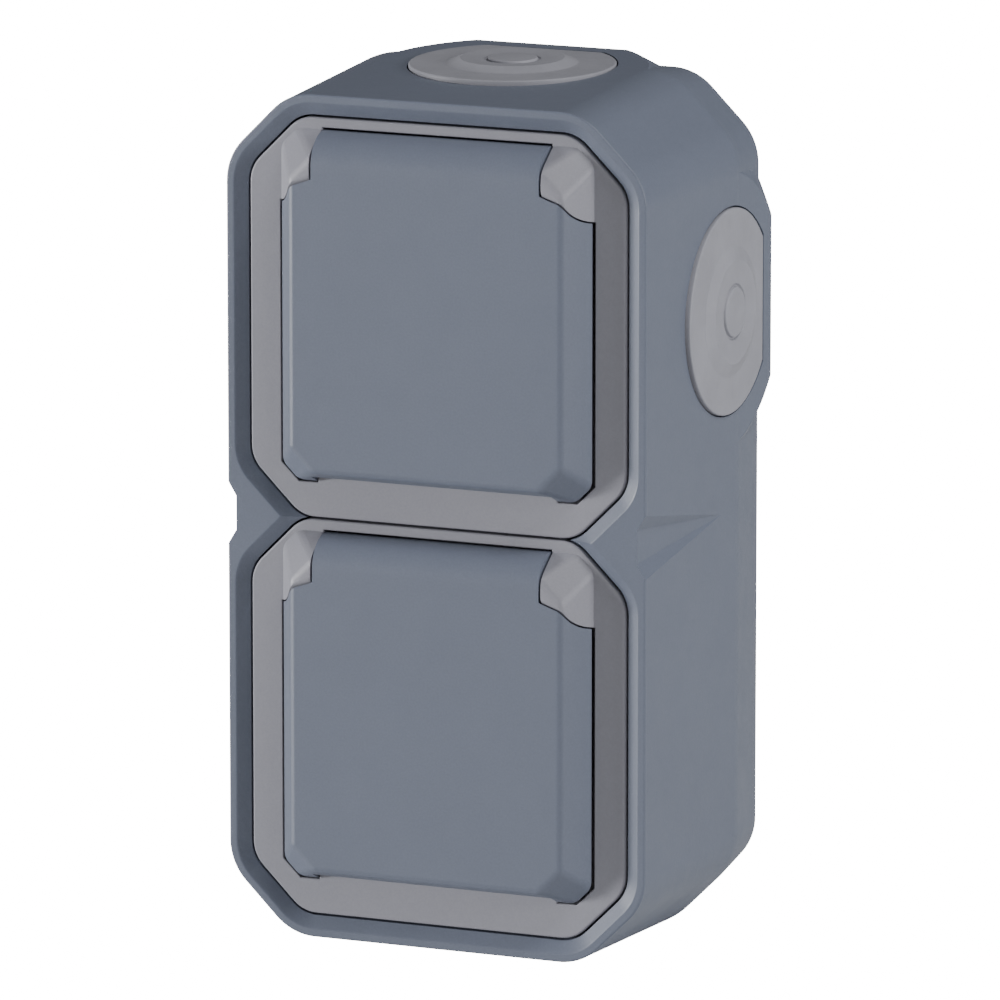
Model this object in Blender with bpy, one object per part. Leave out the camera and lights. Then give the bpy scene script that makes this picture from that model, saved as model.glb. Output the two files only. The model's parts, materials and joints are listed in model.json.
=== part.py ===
"""Surface-mounted, splash-proof double earthed socket outlet with two self-closing hinged covers.

Metres, +Z up.  The back of the housing stands on the wall plane Y = 0 and the covers face -Y.
The origin is on the wall plane, in the middle of the housing.  Each gang is drawn in its own
local frame: X to the right, Y as the depth behind the bezel's front face, Z from the gang centre.
"""
import math

import bmesh
import bpy
from mathutils import Matrix, Vector

# Overall
PITCH = 0.071                 # centre distance of the two gangs
DEPTH = 0.0513                # wall plane to the front face of the bezels
GAP = 0.0004                  # visible gap between neighbouring mouldings
CLEAR = 0.0003                # gap kept between touching pieces
GANGS = {"upper": PITCH / 2, "lower": -PITCH / 2}

# Housing
RIM = 0.0037                  # width of the housing rim around the bezels
RIM_RISE = 0.00105            # height of the rim in front of the bezels
RIM_FLAT = 0.0015             # flat outer band of the rim
RIM_SINK = 0.0003             # depth of the rim's inner edge behind the bezel face
WALL = 0.0024
LEDGE_FRONT = 0.0106          # depth of the ledge that carries the frame gasket
LEDGE = 0.002
LEDGE_HALF = 0.0330
WAIST_DEPTH = 0.00165         # side notch between the two gangs
WAIST_HALF = 0.0056
WAIST_LENGTH = 0.031
FLARE = 0.0452                # outward slope of the side walls, from the front to the fold
FOLD = 0.0374                 # depth where the walls turn back in; only the pads run on straight
PAD_RADIUS = 0.0229           # pad around each cable grommet, at the level of the sloping wall's rear edge
PAD_SLOPE = 1.80
GROMMET_DEPTH = 0.0334        # depth of the grommet centres behind the bezel face
SCREW_SPAN = 0.030            # half the distance between the two fixing screws of a gang
POST_RADIUS = 0.0035
POST_FRONT = 0.0121
SCREW_RADIUS = 0.0013
FIXING_X = 0.0250             # wall fixing holes
FIXING_Z = 0.0600
FIXING_RADIUS = 0.0026

# Cable grommets
FLANGE_RADIUS = 0.0182
FLANGE = 0.0016
FLANGE_FLAT = 0.0143          # flat side of the flange, towards the wall
FLANGE_RISE = 0.0019          # flange face in front of the upright plane through the housing's rear edge
FLANGE_TILT = 0.0165
NECK_RADIUS = 0.0140

# Bezel
BEZEL_HALF = PITCH / 2 - GAP / 2
CHAMFER = 0.0095              # corner cut of the octagonal bezel
CORNER_RADIUS = 0.0063
BEZEL_DEPTH = 0.0080
TUB_FLOOR = 0.0062            # depth of the floor behind the cover
WINDOW_HALF = 0.02945
WINDOW_LOW = -0.02907
WINDOW_TOP = 0.0335
WINDOW_CHAMFER = 0.00325
TAB_HALF = 0.0226             # raised part of the window's lower edge
TAB_TOP = -0.0270
WELL_HOLE = 0.0223

# Cover and its hinge
COVER_RISE = 0.00565          # front face of the cover in front of the bezel
COVER_HALF = 0.0255
COVER_LOW = -0.0263
COVER_CHAMFER = 0.0043
FOOT_HALF = 0.0290
FOOT_LOW = -0.02875
FOOT_TOP = 0.0330
FOOT_CHAMFER = 0.0030
FOOT_DEPTH = -0.0003
SKIN = 0.0020
HINGE_HEIGHT = 0.0275         # hinge axis above the gang centre, level with the bezel face
BARREL_RADIUS = 0.00565
BARREL_HALF = 0.0214
KNUCKLE_START = 0.0217
KNUCKLE_RADIUS = 0.00575
KNUCKLE_FLARE = 0.0070
KNUCKLE_END = 0.0295
WEB = 0.0020
PIN_RADIUS = 0.0010
PIN_HALF = 0.0268
SPRING_POCKET = 0.0170        # inner end of the pocket for the closing spring
SPRING_RADIUS = 0.0023
SPRING_WIRE = 0.0003
SKIRT_RADIUS = 0.0233
SKIRT_WALL = 0.0018
SKIRT_END = 0.0026
SEAL_END = 0.0046

# Socket insert
WELL_RADIUS = 0.0220
WELL_BORE = 0.0195
WELL_FRONT = 0.0049
WELL_FLOOR = 0.0224
WELL_BACK = 0.0249
SHOULDER_RADIUS = 0.0243
PIN_SPACING = 0.0095          # contact holes left and right of the centre
PIN_HOLE = 0.0029
EARTH_SLOT_HALF = 0.0032
SHUTTER_FRONT = 0.0253
SHUTTER_BACK = 0.0271
SHUTTER_TRAVEL = 0.0065
CARRIER_FRONT = 0.0275
CARRIER_BACK = 0.0410
CARRIER_HALF_X = 0.0190
CARRIER_HALF_Z = 0.0165
FRAME_FRONT = 0.0106
FRAME_BACK = 0.0118

SMOOTH_ANGLE = math.radians(32)


# --- scene helpers -------------------------------------------------------------------------

def clear_scene():
    for obj in list(bpy.data.objects):
        bpy.data.objects.remove(obj, do_unlink=True)


def new_collection(name):
    collection = bpy.data.collections.new(name)
    bpy.context.scene.collection.children.link(collection)
    return collection


def make_material(name, colour, roughness, metallic=0.0):
    material = bpy.data.materials.new(name)
    material.use_nodes = True
    shader = material.node_tree.nodes["Principled BSDF"]
    shader.inputs["Base Color"].default_value = (*colour, 1.0)
    shader.inputs["Roughness"].default_value = roughness
    shader.inputs["Metallic"].default_value = metallic
    material.diffuse_color = (*colour, 1.0)
    return material


def add_object(name, bm, origin, material=None):
    """Turn a bmesh into an object at the origin; without a material it is a helper shape."""
    bmesh.ops.recalc_face_normals(bm, faces=bm.faces)
    mesh = bpy.data.meshes.new(name)
    bm.to_mesh(mesh)
    bm.free()
    mesh.shade_smooth()
    mesh.set_sharp_from_angle(angle=SMOOTH_ANGLE)
    obj = bpy.data.objects.new(name, mesh)
    obj.location = origin
    if material:
        mesh.materials.append(material)
        model.objects.link(obj)
    else:
        obj.hide_render = True
        obj.display_type = 'WIRE'
        cutters.objects.link(obj)
    return obj


def combine(obj, other, operation):
    modifier = obj.modifiers.new(operation.lower(), 'BOOLEAN')
    modifier.operation = operation
    modifier.solver = 'EXACT'
    modifier.object = other


def cut(obj, *others):
    for other in others:
        combine(obj, other, 'DIFFERENCE')


def join(obj, *others):
    for other in others:
        combine(obj, other, 'UNION')


def move_origin(obj, offset):
    """Put the object's origin at offset in its local frame without moving its mesh."""
    obj.data.transform(Matrix.Translation(-Vector(offset)))
    obj.location = Vector(obj.location) + Vector(offset)


# --- shape helpers -------------------------------------------------------------------------

def corner_cut(half, low, high, chamfer):
    """Rectangle in X and Z with its four corners cut at 45 degrees."""
    return [(half, low + chamfer), (half, high - chamfer), (half - chamfer, high), (chamfer - half, high),
            (-half, high - chamfer), (-half, low + chamfer), (chamfer - half, low), (half - chamfer, low)]


def rounded(points, radius, steps=4):
    """The same outline with an arc of the given radius at every corner."""
    outline = []
    for index, point in enumerate(points):
        corner = Vector(point)
        before = (Vector(points[index - 1]) - corner).normalized()
        after = (Vector(points[(index + 1) % len(points)]) - corner).normalized()
        half_angle = before.angle(after) / 2
        centre = corner + (before + after).normalized() * radius / math.sin(half_angle)
        start = corner + before * radius / math.tan(half_angle) - centre
        turn = math.pi - 2 * half_angle
        if before.x * after.y - before.y * after.x > 0:
            turn = -turn
        for step in range(steps + 1):
            outline.append(tuple(centre + Matrix.Rotation(turn * step / steps, 2) @ start))
    return outline


def prism(outline, front, back, back_outline=None):
    """Extrude an XZ outline from one depth to another, to a second outline where one is given."""
    bm = bmesh.new()
    ring = [bm.verts.new((x, front, z)) for x, z in outline]
    face = bm.faces.new(ring)
    extruded = bmesh.ops.extrude_face_region(bm, geom=[face])
    ends = [item for item in extruded["geom"] if isinstance(item, bmesh.types.BMVert)]
    target = dict(zip(outline, back_outline or outline))
    for vert in ends:
        x, z = min(target, key=lambda p: (p[0] - vert.co.x) ** 2 + (p[1] - vert.co.z) ** 2)
        vert.co = (target[(x, z)][0], back, target[(x, z)][1])
    return bm


def block(low, high):
    low, high = Vector(low), Vector(high)
    bm = bmesh.new()
    size = Matrix.Diagonal((*(high - low), 1.0))
    bmesh.ops.create_cube(bm, size=1.0, matrix=Matrix.Translation((low + high) / 2) @ size)
    return bm


def cone(start, end, radius, end_radius=None, segments=32):
    """Cylinder or cone frustum between two points."""
    start, end = Vector(start), Vector(end)
    direction = end - start
    turn = Vector((0, 0, 1)).rotation_difference(direction).to_matrix().to_4x4()
    bm = bmesh.new()
    bmesh.ops.create_cone(bm, cap_ends=True, segments=segments, radius1=radius,
                          radius2=radius if end_radius is None else end_radius, depth=direction.length,
                          matrix=Matrix.Translation((start + end) / 2) @ turn)
    return bm


def turned(profile, segments=32):
    """Closed ring turned about the Y axis from (radius, depth) points."""
    bm = bmesh.new()
    ring = [bm.verts.new((radius, depth, 0)) for radius, depth in profile]
    edges = [bm.edges.new((ring[i], ring[(i + 1) % len(ring)])) for i in range(len(ring))]
    bmesh.ops.spin(bm, geom=ring + edges, cent=(0, 0, 0), axis=(0, 1, 0), angle=2 * math.pi,
                   steps=segments, use_merge=True)
    bmesh.ops.remove_doubles(bm, verts=bm.verts, dist=1e-6)
    return bm


def wire(name, points, radius, origin, material):
    """Round wire along a list of points, as a mesh with welded caps."""
    curve = bpy.data.curves.new(name, 'CURVE')
    curve.dimensions = '3D'
    curve.bevel_depth = radius
    curve.bevel_resolution = 1
    curve.use_fill_caps = True
    spline = curve.splines.new('POLY')
    spline.points.add(len(points) - 1)
    for target, point in zip(spline.points, points):
        target.co = (*point, 1.0)
    guide = bpy.data.objects.new(name, curve)
    model.objects.link(guide)
    evaluated = guide.evaluated_get(bpy.context.evaluated_depsgraph_get())
    mesh = bpy.data.meshes.new_from_object(evaluated)
    bpy.data.objects.remove(guide)
    bm = bmesh.new()
    bm.from_mesh(mesh)
    bmesh.ops.remove_doubles(bm, verts=bm.verts, dist=1e-6)
    return add_object(name, bm, origin, material)


def helix(radius, start, end, turns, steps, phase=0.0):
    """Points of a coil about the X axis."""
    count = int(turns * steps)
    return [(start + (end - start) * i / count,
             radius * math.cos(phase + 2 * math.pi * turns * i / count),
             radius * math.sin(phase + 2 * math.pi * turns * i / count)) for i in range(count + 1)]


# --- housing and grommets ------------------------------------------------------------------

def gang_outline(grow, steps=4):
    """Octagonal bezel outline, grown outwards by a distance."""
    half = BEZEL_HALF + grow
    chamfer = CHAMFER + grow * (2 - math.sqrt(2))
    return rounded(corner_cut(half, -half, half, chamfer), CORNER_RADIUS + grow, steps)


def box_outline(inset):
    """Outline of the housing, moved inwards by a distance."""
    grow = GAP + RIM - inset
    half_x = BEZEL_HALF + grow
    half_z = half_x + PITCH / 2
    chamfer = CHAMFER + grow * (2 - math.sqrt(2))
    return rounded(corner_cut(half_x, -half_z, half_z, chamfer), CORNER_RADIUS + grow)


def wall_growth(depth):
    """How far the side walls stand outside the housing's rear outline at a given depth."""
    if depth < FOLD:
        return FLARE * depth
    return FLARE * FOLD * (DEPTH - depth) / (DEPTH - FOLD)


def loft(levels):
    """Solid through outlines of the same point count at increasing depths."""
    bm = bmesh.new()
    rings = [[bm.verts.new((x, depth, z)) for x, z in outline] for depth, outline in levels]
    count = len(rings[0])
    for near, far in zip(rings, rings[1:]):
        for i in range(count):
            j = (i + 1) % count
            bm.faces.new((near[i], near[j], far[j], far[i]))
    bm.faces.new(rings[0])
    bm.faces.new(rings[-1])
    return bm


def grommet_frame(top):
    """Outward direction of the upper or the right grommet and the point where its axis leaves the wall."""
    side = Vector((0, -FLANGE_TILT, 1) if top else (1, -FLANGE_TILT, 0)).normalized()
    reach = BEZEL_HALF + GAP + RIM
    if top:
        return side, Vector((0, GROMMET_DEPTH, reach + PITCH / 2))
    return side, Vector((reach, GROMMET_DEPTH, PITCH / 2))


def pad(top, origin):
    """Pad that carries the slope of the walls straight on behind the fold, around a grommet."""
    _, centre = grommet_frame(top)
    out = Vector((0, 0, 1) if top else (1, 0, 0))
    start = FOLD - 0.004
    slope = loft([(start, box_outline(0.0001 - FLARE * start)), (DEPTH, box_outline(-FLARE * DEPTH))])
    shape = add_object("pad", slope, origin)
    rise = FLARE * DEPTH
    flank = cone(centre - out * 0.002, centre + out * (rise + 0.002), PAD_RADIUS + PAD_SLOPE * (rise + 0.002),
                 PAD_RADIUS - PAD_SLOPE * 0.002, 48)
    combine(shape, add_object("pad_flank", flank, origin), 'INTERSECT')
    return shape


def grommet_seat(top, origin):
    """Cutters for a grommet: a flat-sided pocket for the flange and the hole through the wall."""
    side, centre = grommet_frame(top)
    recess = cone(centre + side * (FLANGE_RISE - FLANGE - CLEAR), centre + side * 0.006,
                  FLANGE_RADIUS + CLEAR, segments=48)
    pocket = add_object("flange_pocket", recess, origin)
    limit = block((-0.06, 0, -0.1), (0.06, GROMMET_DEPTH + FLANGE_FLAT + CLEAR, 0.1))
    combine(pocket, add_object("pocket_limit", limit, origin), 'INTERSECT')
    hole = cone(centre - side * 0.005, centre + side * 0.001, NECK_RADIUS + CLEAR, segments=32)
    return pocket, add_object("cable_hole", hole, origin)


def make_housing(material):
    origin = Vector((0, -DEPTH, 0))
    body = loft([(-RIM_RISE, box_outline(0)), (0, box_outline(0)), (FOLD, box_outline(-wall_growth(FOLD))),
                 (DEPTH, box_outline(0))])
    housing = add_object("housing", body, origin, material)
    join(housing, pad(False, origin), pad(True, origin))
    floor = DEPTH - WALL
    levels = [(v, box_outline(WALL - wall_growth(v))) for v in (LEDGE_FRONT + LEDGE, FOLD, floor)]
    cut(housing, add_object("cavity", loft(levels), origin))
    for height in GANGS.values():
        centre = origin + Vector((0, 0, height))
        opening = prism(gang_outline(GAP), -0.01, LEDGE_FRONT)
        slope = prism(gang_outline(RIM + GAP - RIM_FLAT), -RIM_RISE, RIM_SINK, gang_outline(GAP))
        inner = rounded(corner_cut(LEDGE_HALF, -LEDGE_HALF, LEDGE_HALF, CHAMFER), CORNER_RADIUS)
        ledge_hole = prism(inner, LEDGE_FRONT - 0.001, LEDGE_FRONT + LEDGE + 0.001)
        cut(housing, add_object("bezel_opening", opening, centre), add_object("rim_slope", slope, centre),
            add_object("ledge_hole", ledge_hole, centre))
        for side in (-1, 1):
            foot = (side * SCREW_SPAN, POST_FRONT, 0)
            top = (side * SCREW_SPAN, floor + 0.001, 0)
            join(housing, add_object("screw_post", cone(foot, top, POST_RADIUS, segments=16), centre))
            end = (side * SCREW_SPAN, POST_FRONT + 0.012, 0)
            start = (side * SCREW_SPAN, POST_FRONT - 0.001, 0)
            bore = cone(start, end, SCREW_RADIUS + CLEAR, segments=12)
            cut(housing, add_object("screw_bore", bore, centre))
            hole = (side * FIXING_X, floor - 0.001, math.copysign(FIXING_Z, height) - height)
            rear = (hole[0], DEPTH + 0.001, hole[2])
            fixing = cone(hole, rear, FIXING_RADIUS, segments=16)
            cut(housing, add_object("wall_fixing_hole", fixing, centre))
    for side in (-1, 1):
        cut(housing, waist_notch(side, origin))
    cut(housing, *grommet_seat(False, origin), *grommet_seat(True, origin))
    return housing


def waist_notch(side, origin):
    """Six-sided wedge that hollows the side wall between the gangs and fades out towards the wall."""
    reach = BEZEL_HALF + GAP + RIM
    start = -RIM_RISE - 0.001
    grow = (WAIST_LENGTH - start) / WAIST_LENGTH
    bm = cone((0, start, 0), (0, WAIST_LENGTH, 0), grow, 0.0, 6)
    flat = math.cos(math.radians(30))
    if max(vert.co.x for vert in bm.verts) > max(vert.co.z for vert in bm.verts):
        turn = Matrix.Rotation(math.radians(30), 3, 'Y')
        bmesh.ops.rotate(bm, verts=bm.verts, cent=(0, 0, 0), matrix=turn)
    bmesh.ops.scale(bm, verts=bm.verts, vec=(WAIST_DEPTH / flat, 1, WAIST_HALF))
    for vert in bm.verts:
        vert.co.x += side * (reach + FLARE * vert.co.y)
    return add_object("waist_notch", bm, origin)


def make_grommet(name, top, material):
    """Membrane grommet: flat-sided flange, raised ring and a centre button to pierce."""
    side, centre = grommet_frame(top)
    inside = WALL + FLANGE_RISE + CLEAR
    profile = [(0.0, -0.0015), (0.0042, -0.0015), (0.0046, -0.0012), (0.0049, -0.0009), (0.0084, -0.0007),
               (0.0112, 0.0), (0.0176, 0.0), (FLANGE_RADIUS, 0.0003),
               (FLANGE_RADIUS, FLANGE), (NECK_RADIUS, FLANGE), (NECK_RADIUS, inside),
               (NECK_RADIUS + 0.0013, inside + 0.0003), (NECK_RADIUS - 0.0004, inside + 0.0024),
               (NECK_RADIUS - 0.0018, inside + 0.0024), (NECK_RADIUS - 0.0022, 0.0016), (0.0112, 0.0012),
               (0.0086, 0.0004), (0.0050, 0.0006), (0.0, 0.0004)]
    bm = lathe(profile, 32)
    turn = Vector((0, -1, 0)).rotation_difference(side).to_matrix().to_4x4()
    bmesh.ops.transform(bm, matrix=turn, verts=bm.verts)
    place = centre + side * FLANGE_RISE - Vector((0, DEPTH, 0))
    grommet = add_object(name, bm, place, material)
    limit = block((-0.03, -0.03, -0.03), (0.03, FLANGE_FLAT, 0.03))
    combine(grommet, add_object("flange_limit", limit, place), 'INTERSECT')
    return grommet


def lathe(profile, segments):
    """Solid turned about the Y axis from an open profile whose two ends lie on the axis."""
    bm = bmesh.new()
    points = [bm.verts.new((radius, depth, 0)) for radius, depth in profile]
    edges = [bm.edges.new(pair) for pair in zip(points, points[1:])]
    bmesh.ops.spin(bm, geom=points + edges, cent=(0, 0, 0), axis=(0, 1, 0), angle=2 * math.pi,
                   steps=segments, use_merge=True)
    bmesh.ops.remove_doubles(bm, verts=bm.verts, dist=1e-6)
    return bm


# --- bezel ---------------------------------------------------------------------------------

def facet_outlines():
    """Front and foot outlines of the raised, bevelled shape shared by the cover and the knuckles."""
    front_top = FOOT_TOP - (FOOT_HALF - COVER_HALF)
    front = corner_cut(COVER_HALF, COVER_LOW, front_top, COVER_CHAMFER)
    foot = corner_cut(FOOT_HALF, FOOT_LOW, FOOT_TOP, FOOT_CHAMFER)
    return front, foot


def window_outline():
    """Opening for the cover: stepped at the lower tab and around the two hinge knuckles."""
    ear = KNUCKLE_START - 0.0002
    ear_low = HINGE_HEIGHT - KNUCKLE_FLARE - 0.0001
    right = [(TAB_HALF, TAB_TOP), (TAB_HALF, WINDOW_LOW), (WINDOW_HALF - WINDOW_CHAMFER, WINDOW_LOW),
             (WINDOW_HALF, WINDOW_LOW + WINDOW_CHAMFER), (WINDOW_HALF, ear_low), (ear, ear_low),
             (ear, WINDOW_TOP)]
    return right + [(-x, z) for x, z in reversed(right)]


def knuckle(side, origin):
    """Hinge knuckle: a flared cylinder on the hinge axis, trimmed by the bevelled outline."""
    start = (side * KNUCKLE_START, 0, HINGE_HEIGHT)
    end = (side * KNUCKLE_END, 0, HINGE_HEIGHT)
    shape = add_object("knuckle", cone(start, end, KNUCKLE_RADIUS, KNUCKLE_FLARE, 40), origin)
    front, foot = facet_outlines()
    run = FOOT_DEPTH + COVER_RISE
    spread = (0.0008 - FOOT_DEPTH) / run
    wide = [(a[0] + (a[0] - b[0]) * spread, a[1] + (a[1] - b[1]) * spread) for a, b in zip(foot, front)]
    trim = add_object("knuckle_trim", prism(front, -COVER_RISE, 0.0008, wide), origin)
    combine(shape, trim, 'INTERSECT')
    return shape


def make_bezel(gang, origin, material):
    bezel = add_object(gang + "_bezel", prism(gang_outline(0), 0, BEZEL_DEPTH), origin, material)
    window = add_object("window", prism(window_outline(), -0.01, TUB_FLOOR), origin)
    hole = add_object("well_hole", cone((0, 0, 0), (0, 0.02, 0), WELL_HOLE, segments=48), origin)
    cut(bezel, window, hole)
    for side in (-1, 1):
        join(bezel, knuckle(side, origin))
        bore = cone((side * 0.020, 0, HINGE_HEIGHT), (side * (PIN_HALF + CLEAR), 0, HINGE_HEIGHT),
                    PIN_RADIUS + CLEAR, segments=12)
        cut(bezel, add_object("pin_bore", bore, origin))
    leg_hole = cone((-KNUCKLE_START + 0.001, 0, HINGE_HEIGHT + SPRING_RADIUS),
                    (-KNUCKLE_START - 0.0010, 0, HINGE_HEIGHT + SPRING_RADIUS),
                    SPRING_WIRE + CLEAR, segments=12)
    cut(bezel, add_object("spring_leg_hole", leg_hole, origin))
    return bezel


# --- cover ---------------------------------------------------------------------------------

def shrink(outline, distance):
    """Corner-cut outline moved inwards by a distance."""
    half = max(x for x, _ in outline) - distance
    low = min(z for _, z in outline) + distance
    high = max(z for _, z in outline) - distance
    chamfer = outline[1][0] - outline[2][0]
    return corner_cut(half, low, high, max(chamfer - distance * (2 - math.sqrt(2)), 0.0005))


def make_cover(gang, origin, material):
    """Hinged cover: bevelled shell, hinge barrel with end webs, and a round skirt for its seal."""
    front, foot = facet_outlines()
    cover = add_object(gang + "_cover", prism(front, -COVER_RISE, FOOT_DEPTH, foot), origin, material)
    top_cut = block((-0.04, -0.02, HINGE_HEIGHT), (0.04, 0.02, 0.05))
    cut(cover, add_object("cover_top_cut", top_cut, origin))
    inner_front = shrink(front, SKIN)
    inner_foot = shrink(foot, SKIN)
    hollow = prism(inner_front, SKIN - COVER_RISE, FOOT_DEPTH + 0.0001, inner_foot)
    cut(cover, add_object("cover_hollow", hollow, origin))
    axis = [(x, 0, HINGE_HEIGHT) for x in (-BARREL_HALF, BARREL_HALF)]
    join(cover, add_object("barrel", cone(*axis, BARREL_RADIUS, segments=36), origin))
    bore = [(x, 0, HINGE_HEIGHT) for x in (-SPRING_POCKET + WEB, BARREL_HALF - WEB)]
    pocket = [(x, 0, HINGE_HEIGHT) for x in (-BARREL_HALF - 0.001, -SPRING_POCKET)]
    low, high = bore[0][0], bore[1][0]
    back = block((low, 0.0028, HINGE_HEIGHT - 0.01), (high, 0.01, HINGE_HEIGHT + 0.01))
    cut(cover, add_object("barrel_bore", cone(*bore, BARREL_RADIUS - SKIN, segments=24), origin),
        add_object("spring_pocket", cone(*pocket, BARREL_RADIUS - SKIN, segments=24), origin),
        add_object("barrel_back", back, origin),
        add_object("barrel_underside", block((low, SKIN - COVER_RISE, HINGE_HEIGHT - 0.01),
                                             (high, 0.01, HINGE_HEIGHT)), origin),
        add_object("spring_leg_hole", cone((-SPRING_POCKET - 0.001, 0, HINGE_HEIGHT + SPRING_RADIUS),
                                           (-SPRING_POCKET + 0.0014, 0, HINGE_HEIGHT + SPRING_RADIUS),
                                           SPRING_WIRE + CLEAR, segments=12), origin))
    for side in (-1, 1):
        start = (side * (BARREL_HALF - 0.0001), 0, HINGE_HEIGHT)
        reach = 0.031
        flare = (KNUCKLE_FLARE - KNUCKLE_RADIUS) / (KNUCKLE_END - KNUCKLE_START)
        end_radius = KNUCKLE_RADIUS + CLEAR + flare * (reach - KNUCKLE_START)
        room = cone(start, (side * reach, 0, HINGE_HEIGHT), KNUCKLE_RADIUS + CLEAR, end_radius, 40)
        shape = add_object("knuckle_room", room, origin)
        cut(cover, shape)
    inner, outer = SKIRT_RADIUS - SKIRT_WALL / 2, SKIRT_RADIUS + SKIRT_WALL / 2
    root = SKIN - COVER_RISE - 0.0005
    skirt = [(inner, root), (outer, root), (outer, SKIRT_END), (inner, SKIRT_END)]
    join(cover, add_object("skirt", turned(skirt, 32), origin))
    scoop = block((-TAB_HALF, -0.0029, FOOT_LOW - 0.002), (TAB_HALF, 0.01, -0.0252))
    pin_hole = [(x, 0, HINGE_HEIGHT) for x in (-0.03, 0.03)]
    cut(cover, add_object("finger_scoop", scoop, origin),
        add_object("cover_pin_hole", cone(*pin_hole, PIN_RADIUS + CLEAR, segments=12), origin))
    move_origin(cover, (0, 0, HINGE_HEIGHT))
    return cover


def make_cover_seal(gang, origin, material):
    inner, outer = SKIRT_RADIUS - SKIRT_WALL / 2, SKIRT_RADIUS + SKIRT_WALL / 2
    profile = [(inner, SKIRT_END + CLEAR), (outer, SKIRT_END + CLEAR), (outer, SEAL_END - 0.0006),
               ((inner + outer) / 2, SEAL_END), (inner, SEAL_END - 0.0006)]
    seal = add_object(gang + "_cover_seal", turned(profile, 32), origin, material)
    move_origin(seal, (0, 0, HINGE_HEIGHT))
    return seal


def make_hinge_pin(gang, origin, material):
    bm = cone((-PIN_HALF, 0, HINGE_HEIGHT), (PIN_HALF, 0, HINGE_HEIGHT), PIN_RADIUS, segments=12)
    return add_object(gang + "_hinge_pin", bm, origin, material)


def make_cover_spring(gang, origin, material):
    """Torsion spring round the pin; its straight ends sit in the left knuckle and in the cover."""
    start, end = KNUCKLE_START - 0.0007, SPRING_POCKET + 0.0006
    coil = helix(SPRING_RADIUS, -start, -end, 3, 10, math.pi / 2)
    fixed, moving = (-start - 0.0014, 0, SPRING_RADIUS), (-end + 0.0016, 0, SPRING_RADIUS)
    points = [(x, y, z + HINGE_HEIGHT) for x, y, z in [fixed] + coil + [moving]]
    return wire(gang + "_cover_spring", points, SPRING_WIRE, origin, material)


# --- socket insert -------------------------------------------------------------------------

def make_well(gang, origin, material):
    """Round earthed-socket well with two contact holes and slots for the earth contacts."""
    shoulder = TUB_FLOOR - CLEAR
    profile = [(0.0, WELL_FLOOR), (WELL_BORE, WELL_FLOOR), (WELL_BORE, WELL_FRONT),
               (SHOULDER_RADIUS, WELL_FRONT), (SHOULDER_RADIUS, shoulder), (WELL_RADIUS, shoulder),
               (WELL_RADIUS, WELL_BACK), (0.0, WELL_BACK)]
    well = add_object(gang + "_socket_well", lathe(profile, 36), origin, material)
    for side in (-1, 1):
        hole = cone((side * PIN_SPACING, WELL_FLOOR - 0.001, 0), (side * PIN_SPACING, WELL_BACK + 0.001, 0),
                    PIN_HOLE, segments=16)
        slot = block((-EARTH_SLOT_HALF, WELL_FRONT + 0.004, side * 0.0205 - 0.0035),
                     (EARTH_SLOT_HALF, WELL_BACK + 0.001, side * 0.0205 + 0.0035))
        cut(well, add_object("contact_hole", hole, origin), add_object("earth_slot", slot, origin))
        rib = block((side * WELL_BORE - 0.0012, WELL_FRONT + 0.0015, -0.0020),
                    (side * WELL_BORE + 0.0012, WELL_FLOOR + 0.001, 0.0020))
        join(well, add_object("guide_rib", rib, origin))
    screw_hole = cone((0, WELL_FLOOR - 0.001, 0), (0, WELL_BACK + 0.001, 0), 0.0019, segments=16)
    cut(well, add_object("centre_hole", screw_hole, origin))
    return well


def screw(name, location, head_radius, head, shank_radius, length, origin, material, segments=16):
    """Slotted cheese-head screw pointing into the wall; location is its seat."""
    x, seat, z = location
    bm = cone((x, seat - head, z), (x, seat, z), head_radius, segments=segments)
    obj = add_object(name, bm, origin, material)
    shank = cone((x, seat - 0.0003, z), (x, seat + length, z), shank_radius, segments=segments)
    slot = block((x - head_radius - 0.001, seat - head - 0.001, z - 0.0004),
                 (x + head_radius + 0.001, seat - head * 0.5, z + 0.0004))
    join(obj, add_object("shank", shank, origin))
    cut(obj, add_object("driver_slot", slot, origin))
    return obj


def make_shutter(gang, origin, material):
    """Sliding shutter: it covers both contact holes and clears them when a plug pushes it up."""
    plate = block((-0.0134, SHUTTER_FRONT, -0.0112), (0.0134, SHUTTER_BACK, 0.0035))
    shutter = add_object(gang + "_shutter", plate, origin, material)
    for side in (-1, 1):
        front = (side * PIN_SPACING, SHUTTER_FRONT - 0.001, -SHUTTER_TRAVEL)
        back = (side * PIN_SPACING, SHUTTER_BACK + 0.001, -SHUTTER_TRAVEL)
        window = cone(front, back, PIN_HOLE + 0.0002, segments=16)
        cut(shutter, add_object("shutter_window", window, origin))
    slot = block((-0.0021, SHUTTER_FRONT - 0.001, -0.0086), (0.0021, SHUTTER_BACK + 0.001, 0.0021))
    cut(shutter, add_object("shutter_slot", slot, origin))
    return shutter


def make_shutter_spring(gang, origin, material):
    """Compression spring between the shutter and the top of the carrier."""
    base = helix(0.0008, 0.0, 0.0088, 4, 8)
    points = [(0.0058 + y, (SHUTTER_FRONT + SHUTTER_BACK) / 2 + z, 0.0040 + x) for x, y, z in base]
    return wire(gang + "_shutter_spring", points, 0.00018, origin, material)


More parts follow.
